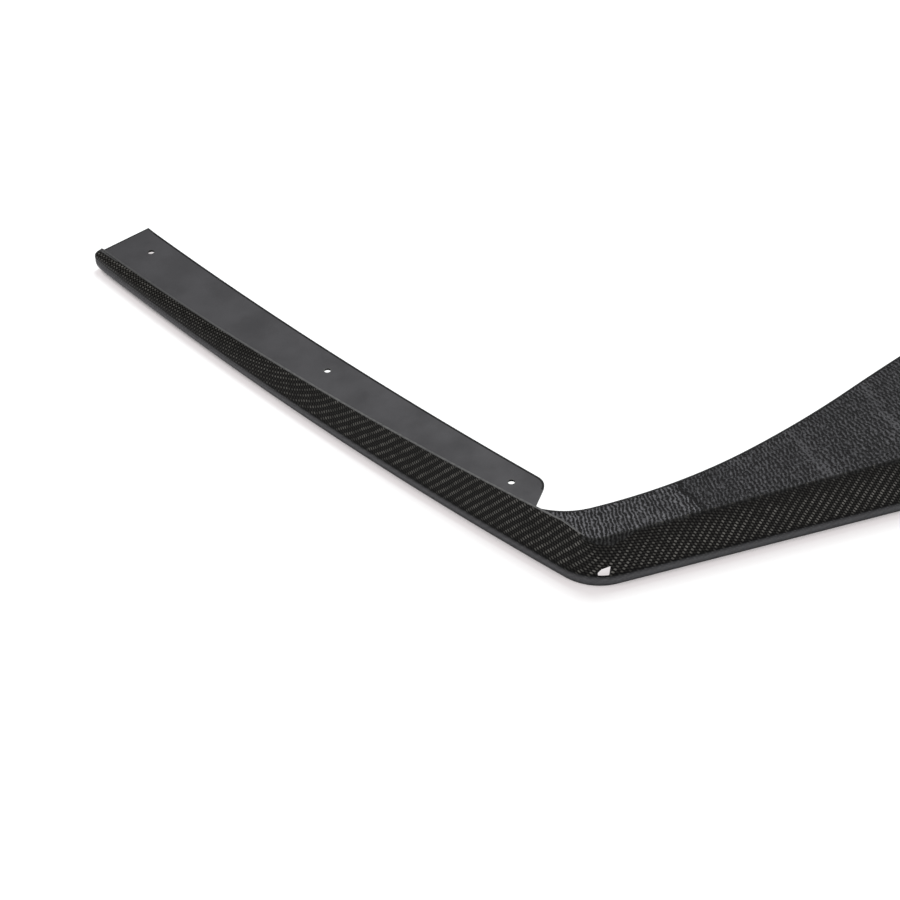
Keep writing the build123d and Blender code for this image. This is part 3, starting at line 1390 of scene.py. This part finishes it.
    def cutter(self, side: Side) -> Object:
        """A block that cuts the slot in one corner.

        Args:
            side: Which corner.

        Returns:
            The block.
        """
        place = self.line.place(self.line.corner_start + radians(self.slot_turn) * self.line.corner_r)
        way_x, way_y = place.outward()
        run_x, run_y = cos(radians(place.heading)), sin(radians(place.heading))
        ring = rounded(self.slot_outline, self.slot_round, self.slot_round_steps)
        points: list[Vector] = []
        for out in self.slot_reach:
            for back, up in ring:
                x, y = place.x - run_x * back + way_x * out, place.y - run_y * back + way_y * out
                points.append(Vector((side.value * x, y, self.slot_height + up)) * MM)
        n = len(ring)
        faces = [list(range(n)), list(range(2 * n - 1, n - 1, -1))]
        faces += [[i, i + n, (i + 1) % n + n, (i + 1) % n] for i in range(n)]
        mesh = bpy.data.meshes.new("slot_block")
        mesh.from_pydata(points, [], faces)
        turn_outward(mesh)
        return new_object("slot_block", mesh)

    def build(self, palette: Palette) -> Object:
        """Build the skin.

        Args:
            palette: The finishes.

        Returns:
            The finished piece.
        """
        rows = self.outline()
        flat = [Vector((row.low_out, row.low_z, 0.0)) * MM for row in rows]
        apart = [point + Vector((0, 0, i * POINT_GAP)) for i, point in enumerate(flat)]
        ring = line_mesh("lip_section", apart, True)
        give_fields(ring, rows)
        section = new_object("lip_section", ring)
        values = {"Section": section, "Scale": MM, "Material": palette.woven}
        skin = run_tree(new_object("lip_path", self.path()), self.tree(), values, "lip_skin_uncut")
        bpy.data.objects.remove(section)
        turn_outward(skin.data)
        for side in Side:
            block = self.cutter(side)
            cut = skin.modifiers.new("slot", "BOOLEAN")
            cut.operation, cut.solver, cut.object = "DIFFERENCE", "EXACT", block
            skin = plain_mesh(skin, "lip_skin")
            bpy.data.objects.remove(block)
        self.dress(skin.data, palette)
        return hand_over(skin)

    def dress(self, mesh: Mesh, palette: Palette) -> None:
        """Give each face its material by its climb, and drop the values that were stored on the points.

        Args:
            mesh: The skin's mesh.
            palette: The finishes.
        """
        mesh.materials.clear()
        for material in (palette.woven, palette.trim, palette.back):
            mesh.materials.append(material)
        climb = mesh.uv_layers["lip"].data
        for face in mesh.polygons:
            levels = [climb[i].uv[0] for i in face.loop_indices]
            zone = Zone.FACE
            if max(levels) > BACK_FROM:
                zone = Zone.BACK
            elif min(levels) >= EDGE_FROM:
                zone = Zone.EDGE
            face.material_index = zone.value
        stored = [a.name for a in mesh.attributes if a.domain == "POINT" and a.name != "position"]
        for name in stored:
            if not name.startswith("."):
                mesh.attributes.remove(mesh.attributes[name])


@dataclass(frozen=True)
class Shelf:
    """The sheet in the mounting plane: two arm flanges with bolt holes, and the front plate."""

    line: LipLine = LipLine()
    section: Section = Section()
    notch: Point = (41.1, 5.9)
    plate_arcs: tuple[Point, ...] = ((67.5, 44.0), (530.0, 18.0), (1059.0, 7.06), (2540.0, -7.06))
    near: Point = (55.2, 40.3)
    far_in: float = 62.2
    edge_r: float = 5160.0
    near_round: float = 18.0
    hole_r: float = 3.5
    holes: tuple[Point, ...] = ((80.6, 20.5), (328.1, 31.7), (608.9, 38.9))
    fold_in: float = 1.6
    wall_in: float = 1.3
    flange_soften: float = 0.3
    arc_steps: int = 16
    edge_steps: int = 40
    round_steps: int = 12
    round_clear: float = 1.02
    hole_steps: int = 32
    merge: float = 1e-6
    flat_from: float = 0.9

    def on_arm(self, along: float, inboard: float) -> Point:
        """A place in the mounting plane, from the corner along the arm and inboard of the lip line."""
        return self.in_plane(*self.line.place(self.line.corner_end + along).moved(-inboard))

    def in_plane(self, x: float, y: float) -> Point:
        """A place in plan as a place in the mounting plane."""
        return (x, y / cos(radians(self.section.plane_lean)))

    def wall_line(self, start: float, end: float) -> list[Point]:
        """Where the sheet runs into the skin, between two distances along the lip line.

        Args:
            start: First distance.
            end: Last distance.

        Returns:
            Points in the mounting plane.
        """
        inner = [s for s in self.line.stations() if start < s < end]
        found: list[Point] = []
        for s in [start, *inner, end]:
            place = self.line.place(s)
            fold = self.section.fold(place)
            out, _ = self.section.rim(place)
            wall = self.section.face_at(place, self.section.plane_z(place.moved(out)[1])) - self.wall_in
            found.append(self.in_plane(*place.moved(fold * (out - self.fold_in) + (1 - fold) * wall)))
        return found

    def plate_edge(self) -> list[Point]:
        """Inner edge of the plate from the notch to the middle.

        Returns:
            Points in the mounting plane.
        """
        x, y = self.on_arm(*self.notch)
        here = Place(x, y, -(self.plate_arcs[0][1] + self.plate_arcs[1][1]))
        found = [(x, y)]
        for radius, turn in self.plate_arcs:
            turns = [turn * i / self.arc_steps for i in range(1, self.arc_steps + 1)]
            found += [(p.x, p.y) for p in (arc_place(here, radius, part) for part in turns)]
            here = arc_place(here, radius, turn)
        return found

    def flange_edge(self) -> list[Point]:
        """Inner edge of the left flange, from the rounded corner near the notch to the end of the arm.

        Returns:
            Points in the mounting plane.
        """
        notch, near = Vector(self.on_arm(*self.notch)), Vector(self.on_arm(*self.near))
        chord = Vector(self.on_arm(self.line.arm_run, self.far_in)) - near
        bulge = Vector((-chord.y, chord.x)).normalized()
        edge: list[Vector] = []
        for i in range(self.edge_steps + 1):
            t = i / self.edge_steps
            drop = chord.length * chord.length * t * (1 - t) / (2 * self.edge_r)
            edge.append(near + chord * t + bulge * drop)
        b, a = (notch - near).normalized(), (edge[2] - near).normalized()
        reach = self.near_round / tan(b.angle(a) / 2)
        curve = bend(near + b * reach, near, near + a * reach, self.round_steps)
        rest = [(p.x, p.y) for p in edge if (p - near).length > reach * self.round_clear]
        return [*curve, *rest]

    def flange_outline(self) -> list[Point]:
        """Outline of the left flange in the mounting plane."""
        wall = self.wall_line(self.line.corner_end + self.notch[0], self.line.length)
        return [self.on_arm(*self.notch), *self.flange_edge(), *reversed(wall)]

    def plate_outline(self) -> list[Point]:
        """Outline of the whole front plate in the mounting plane."""
        inner, outer = self.plate_edge(), self.wall_line(0.0, self.line.corner_end + self.notch[0])
        return [*inner, *mirrored(inner[:-1]), *mirrored(outer[1:]), *outer]

    def hole_ring(self, x: float, y: float) -> list[Point]:
        """Outline of a bolt hole round a place in the mounting plane."""
        turns = [2 * pi * i / self.hole_steps for i in range(self.hole_steps)]
        return [(x + self.hole_r * cos(a), y + self.hole_r * sin(a)) for a in turns]

    def sheet(self, name: str, rings: list[list[Point]], soften: float) -> Object:
        """A flat sheet with holes, laid in the mounting plane.

        Args:
            name: Piece name.
            rings: The outline and then its holes.
            soften: Edge rounding.

        Returns:
            The piece as a plain mesh.
        """
        thick = self.section.laminate
        flat = bpy.data.curves.new(name, "CURVE")
        flat.dimensions, flat.fill_mode = "2D", "BOTH"
        flat.extrude = (thick / 2 - soften) * MM
        flat.bevel_depth, flat.bevel_resolution = soften * MM, 1
        flat.offset = -soften * MM
        for ring in rings:
            spline = flat.splines.new("POLY")
            spline.points.add(len(ring) - 1)
            spline.use_cyclic_u = True
            for point, (x, y) in zip(spline.points, ring):
                point.co = (x * MM, y * MM, 0.0, 1.0)
        piece = plain_mesh(new_object(name + "_flat", flat), name)
        c, s = cos(radians(self.section.plane_lean)), sin(radians(self.section.plane_lean))
        turn = Matrix(((1, 0, 0, 0), (0, c, s, 0), (0, -s, c, self.section.plane_height * MM), (0, 0, 0, 1)))
        drop = Matrix.Translation((0, 0, -thick / 2 * MM))
        piece.data.transform(turn @ drop)
        turn_outward(piece.data, self.merge)
        return piece

    def dress(self, piece: Object, top: Material, palette: Palette) -> Object:
        """Give a sheet its top, edge and underside materials.

        Args:
            piece: The sheet.
            top: Material of the upper face.
            palette: The finishes.

        Returns:
            The same piece.
        """
        mesh = piece.data
        mesh.materials.clear()
        for material in (top, palette.trim, palette.back):
            mesh.materials.append(material)
        for face in mesh.polygons:
            face.use_smooth = False
            zone = Zone.EDGE
            if abs(face.normal.z) > self.flat_from:
                zone = Zone.FACE if face.normal.z > 0.0 else Zone.BACK
            face.material_index = zone.value
        return hand_over(piece)

    def build(self, palette: Palette) -> list[Object]:
        """Build the flanges and the plate.

        Args:
            palette: The finishes.

        Returns:
            The finished pieces.
        """
        made: list[Object] = []
        outline = self.flange_outline()
        for side in Side:
            rings = [[(side.value * x, y) for x, y in outline]]
            for spot in self.holes:
                x, y = self.on_arm(*spot)
                rings.append(self.hole_ring(side.value * x, y))
            piece = self.sheet(f"flange_{side.name.lower()}", rings, self.flange_soften)
            made.append(self.dress(piece, palette.satin, palette))
        plate = self.sheet("front_plate", [self.plate_outline()], 0.0)
        made.append(self.dress(plate, palette.rough, palette))
        return made


@dataclass(frozen=True)
class Strip:
    """A small box section that is carried along a line."""

    width: float
    depth: float

    @staticmethod
    def tree() -> NodeTree:
        """Node tree that carries the box section.

        Returns:
            The tree.
        """
        inputs = {"Width": "NodeSocketFloat", "Depth": "NodeSocketFloat", "Material": "NodeSocketMaterial"}
        kit, start, end = start_geometry("rim_edge", inputs)
        curve = kit.add("GeometryNodeMeshToCurve", {0: start.outputs["Geometry"]})
        upright = kit.add("GeometryNodeSetCurveNormal", {"Curve": curve.outputs[0]}, mode="Z_UP")
        values = {"Width": start.outputs["Width"], "Height": start.outputs["Depth"]}
        box = kit.add("GeometryNodeCurvePrimitiveQuadrilateral", values, mode="RECTANGLE")
        values = {"Curve": upright.outputs[0], "Profile Curve": box.outputs[0], "Fill Caps": True}
        return end_geometry(kit, start, end, kit.add("GeometryNodeCurveToMesh", values).outputs[0])

    def build(self, name: str, points: list[Vector], tree: NodeTree, material: Material) -> Object:
        """Build one strip.

        Args:
            name: Piece name.
            points: The line.
            tree: Node tree that carries the box section.
            material: The strip's material.

        Returns:
            The finished piece.
        """
        values = {"Width": self.width * MM, "Depth": self.depth * MM, "Material": material}
        piece = run_tree(new_object(name + "_path", line_mesh(name, points, False)), tree, values, name)
        turn_outward(piece.data)
        return hand_over(piece)


@dataclass(frozen=True)
class RimEdge:
    """Light cut edge along the top of each arm's upstand."""

    line: LipLine = LipLine()
    section: Section = Section()
    strip: Strip = Strip(2.3, 0.5)
    past_corner: float = 8.0
    sunk: float = 0.35

    def build(self, tree: NodeTree, palette: Palette) -> list[Object]:
        """Build the edge on both arms.

        Args:
            tree: Node tree that carries a box section along a line.
            palette: The finishes.

        Returns:
            The finished pieces.
        """
        first, last = self.line.corner_end + self.past_corner, self.line.length - 2 * self.line.end_round
        places = [self.line.place(s) for s in self.line.stations() if first < s < last]
        made: list[Object] = []
        for side in Side:
            points: list[Vector] = []
            for place in places:
                out, z = self.section.rim(place)
                x, y = place.moved(out - self.section.laminate / 2)
                points.append(Vector((side.value * x, y, z - self.sunk * self.strip.depth)) * MM)
            made.append(self.strip.build(f"rim_edge_{side.name.lower()}", points, tree, palette.trim))
        return made


@dataclass(frozen=True)
class InnerEdge:
    """Dark strip along the inner sides of the flanges and the plate."""

    shelf: Shelf = Shelf()
    strip: Strip = Strip(2.0, 0.7)
    inset: float = 0.8
    proud: float = 0.12
    end_in: float = 3.0

    def moved_aside(self, line: list[Point], away: float) -> list[Point]:
        """The same line moved sideways.

        Args:
            line: Points in the mounting plane.
            away: Distance to the left of the line.

        Returns:
            The moved points.
        """
        found: list[Point] = []
        for i, (x, y) in enumerate(line):
            before, after = line[max(i - 1, 0)], line[min(i + 1, len(line) - 1)]
            run = (Vector(after) - Vector(before)).normalized()
            found.append((x - run.y * away, y + run.x * away))
        return found

    def lines(self) -> dict[str, list[Point]]:
        """The edges as lines in the mounting plane.

        Returns:
            Piece name to points.
        """
        wall = self.shelf.on_arm(self.shelf.line.arm_run, self.end_in)
        flange = self.moved_aside([*self.shelf.flange_edge(), wall], self.inset)
        plate = self.moved_aside(self.shelf.plate_edge(), -self.inset)
        return {
            "flange_edge_left": flange,
            "flange_edge_right": [(-x, y) for x, y in flange],
            "plate_edge": [*plate, *mirrored(plate[:-1])],
        }

    def build(self, tree: NodeTree, palette: Palette) -> list[Object]:
        """Build the edges.

        Args:
            tree: Node tree that carries a box section along a line.
            palette: The finishes.

        Returns:
            The finished pieces.
        """
        made: list[Object] = []
        up = self.proud - self.strip.depth / 2
        for name, line in self.lines().items():
            points = [self.shelf.section.to_world(x, y, up) for x, y in line]
            made.append(self.strip.build(name, points, tree, palette.edge))
        return made


@dataclass(frozen=True)
class HoleRims:
    """Thin light ring round each bolt hole."""

    shelf: Shelf = Shelf()
    ring: float = 0.35
    clear: float = 0.1
    sunk: float = 0.2
    ring_steps: int = 40
    bead_steps: int = 8

    def tree(self) -> NodeTree:
        """Node tree that puts a ring on each point.

        Returns:
            The tree.
        """
        inputs = {
            "Radius": "NodeSocketFloat",
            "Ring": "NodeSocketFloat",
            "Turn": "NodeSocketVector",
            "Material": "NodeSocketMaterial",
        }
        kit, start, end = start_geometry("hole_rims", inputs)

        def circle(steps: int, radius: str) -> NodeSocket:
            """A circle whose radius is one of the tree's inputs."""
            values = {"Resolution": steps, "Radius": start.outputs[radius]}
            return kit.add("GeometryNodeCurvePrimitiveCircle", values).outputs[0]

        loop, bead = circle(self.ring_steps, "Radius"), circle(self.bead_steps, "Ring")
        ring = kit.add("GeometryNodeCurveToMesh", {"Curve": loop, "Profile Curve": bead})
        smooth = kit.add("GeometryNodeSetShadeSmooth", {"Geometry": ring.outputs[0]})
        points = kit.add("GeometryNodeMeshToPoints", {0: start.outputs["Geometry"]})
        values = {"Points": points.outputs[0], "Instance": smooth.outputs[0]}
        placed = kit.add("GeometryNodeInstanceOnPoints", {**values, "Rotation": start.outputs["Turn"]})
        return end_geometry(kit, start, end, placed.outputs[0])

    def build(self, palette: Palette) -> Object:
        """Build all rings as one piece.

        Args:
            palette: The finishes.

        Returns:
            The finished piece.
        """
        shelf = self.shelf
        points: list[Vector] = []
        for side in Side:
            for spot in shelf.holes:
                x, y = shelf.on_arm(*spot)
                points.append(shelf.section.to_world(side.value * x, y, -self.sunk))
        mesh = bpy.data.meshes.new("hole_points")
        mesh.from_pydata(points, [], [])
        values = {
            "Radius": (shelf.hole_r + self.clear) * MM,
            "Ring": self.ring * MM,
            "Turn": (-radians(shelf.section.plane_lean), 0.0, 0.0),
            "Material": palette.trim,
        }
        piece = run_tree(new_object("hole_points", mesh), self.tree(), values, "hole_rims")
        turn_outward(piece.data)
        return hand_over(piece)


@dataclass(frozen=True)
class Studio:
    """Pale floor, soft light and the camera, in metres and degrees."""

    eye: tuple[float, float, float] = (-1.81334, -1.64898, 1.80671)
    azimuth: float = -36.4011
    elevation: float = 42.0
    field_of_view: float = 18.0
    sensor: float = 36.0
    clip: Point = (0.05, 50.0)
    sky: float = 0.55
    lamp_size: float = 1.6
    lamp_power: float = 110.0
    lamp_place: tuple[float, float, float] = (0.1, 0.5, 3.2)
    lamp_aim: tuple[float, float, float] = (-0.5, -0.1, 0.0)
    floor_half: float = 8.0
    floor_dark: Colour = (0.4, 0.45, 0.445, 1.0)
    floor_light: Colour = (0.44, 0.49, 0.485, 1.0)
    floor_unseen: Colour = grey(0.8)
    floor_scale: float = 3.0
    glow: Colour = (1.0, 0.915, 0.925, 1.0)
    glow_strength: float = 0.63
    shadow_reach: float = 0.055
    shadow_end: Ramp = (0.16, 0.42)

    def floor(self) -> None:
        """A wide pale floor that keeps the part's soft shadow."""
        mesh = bpy.data.meshes.new("floor")
        r = self.floor_half
        mesh.from_pydata([(-r, -r, 0), (r, -r, 0), (r, r, 0), (-r, r, 0)], [], [[0, 1, 2, 3]])
        piece = new_object("floor", mesh)
        material, kit, shader = start_material("floor")
        seen = kit.add("ShaderNodeLightPath").outputs["Is Camera Ray"]
        pale = kit.mix(kit.noise(kit.place(), self.floor_scale), self.floor_dark, self.floor_light)
        near = kit.add("ShaderNodeAmbientOcclusion", {"Distance": self.shadow_reach}, samples=8).outputs["AO"]
        open_floor = kit.times(seen, kit.ramp(near, *self.shadow_end))
        kit.feed(shader.inputs["Base Color"], kit.mix(seen, self.floor_unseen, pale))
        kit.feed(shader.inputs["Roughness"], 1.0)
        kit.feed(shader.inputs["Specular IOR Level"], 0.0)
        kit.feed(shader.inputs["Emission Color"], self.glow)
        kit.feed(shader.inputs["Emission Strength"], kit.times(open_floor, self.glow_strength))
        mesh.materials.append(material)

    def light(self) -> None:
        """An even sky and one broad lamp above the bay."""
        world = bpy.data.worlds.new("sky")
        world.use_nodes = True
        back = world.node_tree.nodes["Background"]
        back.inputs["Color"].default_value = grey(1.0)
        back.inputs["Strength"].default_value = self.sky
        bpy.context.scene.world = world
        lamp = bpy.data.lights.new("soft_lamp", "AREA")
        lamp.shape, lamp.size, lamp.energy = "DISK", self.lamp_size, self.lamp_power
        piece = new_object("soft_lamp", lamp)
        piece.location = self.lamp_place
        aim = Vector(self.lamp_aim) - piece.location
        piece.rotation_euler = aim.to_track_quat("-Z", "Y").to_euler()

    def camera(self) -> None:
        """A camera at the photograph's viewing angle."""
        data = bpy.data.cameras.new("photo_camera")
        data.sensor_width = self.sensor
        data.lens = self.sensor / 2 / tan(radians(self.field_of_view / 2))
        data.clip_start, data.clip_end = self.clip
        piece = new_object("photo_camera", data)
        a, e = radians(self.azimuth), radians(self.elevation)
        back = Vector((sin(a) * cos(e), -cos(a) * cos(e), sin(e)))
        piece.location = self.eye
        piece.rotation_euler = (-back).to_track_quat("-Z", "Y").to_euler()
        bpy.context.scene.camera = piece

    def build(self) -> None:
        """Set up the floor, the light, the camera and the view."""
        self.floor()
        self.light()
        self.camera()
        bpy.context.scene.view_settings.view_transform = "Standard"


def main() -> None:
    """Build the object and its studio."""
    palette = Palette.make()
    pieces = [LipSkin().build(palette), *Shelf().build(palette)]
    tree = Strip.tree()
    pieces += [*RimEdge().build(tree, palette), *InnerEdge().build(tree, palette)]
    pieces.append(HoleRims().build(palette))
    for piece in pieces:
        LOG.info("%s: %d faces", piece.name, len(piece.data.polygons))
    Studio().build()


if __name__ == "__main__":
    main()
